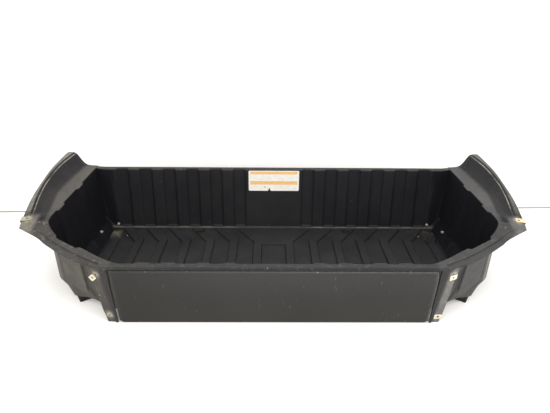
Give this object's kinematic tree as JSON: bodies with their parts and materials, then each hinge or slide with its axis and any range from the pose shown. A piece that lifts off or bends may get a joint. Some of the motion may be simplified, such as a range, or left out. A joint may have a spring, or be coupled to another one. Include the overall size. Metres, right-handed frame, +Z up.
{
  "type": "cargo bed liner",
  "caption": "Moulded plastic cargo-bed tub with cut front corners, ribbed floor, fluted tall wall, flared side wings and a separate low fascia panel.",
  "frame": {"origin": "middle of the footprint on the ground: the bounding box's bottom centre. x = 0 is the symmetry plane, z = 0 the ground under the fascia and pads, y = 0 half way between the fascia's face and the tall wall's rear rim", "axes": "+X across the bed towards the right wing, +Y from the low fascia towards the tall wall, +Z up"},
  "size_m": [1.3548, 0.514, 0.2851],
  "materials": {
    "tub_plastic": "moulded black polyolefin, fine grain, satin, dusty and scuffed",
    "apron_plastic": "smooth moulded charcoal plastic, satin, light scratches",
    "pad_rubber": "black moulded rubber",
    "label_vinyl": "white vinyl with two plain orange bands",
    "black_steel": "black coated steel",
    "clip_zinc": "yellowish zinc plate, dull and dusty",
    "zinc_steel": "clear zinc plate, dull"
  },
  "bodies": {
    "root": {"apron_panel": "apron_plastic", "apron_screw_1": "zinc_steel", "apron_screw_2": "zinc_steel", "apron_screw_3": "zinc_steel", "apron_screw_4": "zinc_steel", "apron_screw_5": "zinc_steel", "bed_tub": "tub_plastic", "clip_nut_lower_right": "clip_zinc", "clip_nut_tip_left": "clip_zinc", "clip_nut_tip_right": "clip_zinc", "clip_nut_upper_left": "clip_zinc", "clip_nut_upper_right": "clip_zinc", "corner_bolt_back_left": "zinc_steel", "corner_bolt_back_right": "zinc_steel", "corner_bolt_side_left": "zinc_steel", "corner_bolt_side_right": "zinc_steel", "corner_nut_back_left": "zinc_steel", "corner_nut_back_right": "zinc_steel", "corner_nut_side_left": "zinc_steel", "corner_nut_side_right": "zinc_steel", "floor_bolt_front_left": "black_steel", "floor_bolt_front_right": "black_steel", "floor_bolt_rear_left": "black_steel", "floor_bolt_rear_right": "black_steel", "floor_spacer_front_left": "zinc_steel", "floor_spacer_front_right": "zinc_steel", "floor_spacer_rear_left": "zinc_steel", "floor_spacer_rear_right": "zinc_steel", "floor_washer_front_left": "black_steel", "floor_washer_front_right": "black_steel", "floor_washer_rear_left": "black_steel", "floor_washer_rear_right": "black_steel", "foot_pad_front_left": "pad_rubber", "foot_pad_front_right": "pad_rubber", "foot_pad_rear_left": "pad_rubber", "foot_pad_rear_right": "pad_rubber", "info_label": "label_vinyl", "pad_screw_front_left": "zinc_steel", "pad_screw_front_right": "zinc_steel", "pad_screw_rear_left": "zinc_steel", "pad_screw_rear_right": "zinc_steel"}
  },
  "joints": []
}
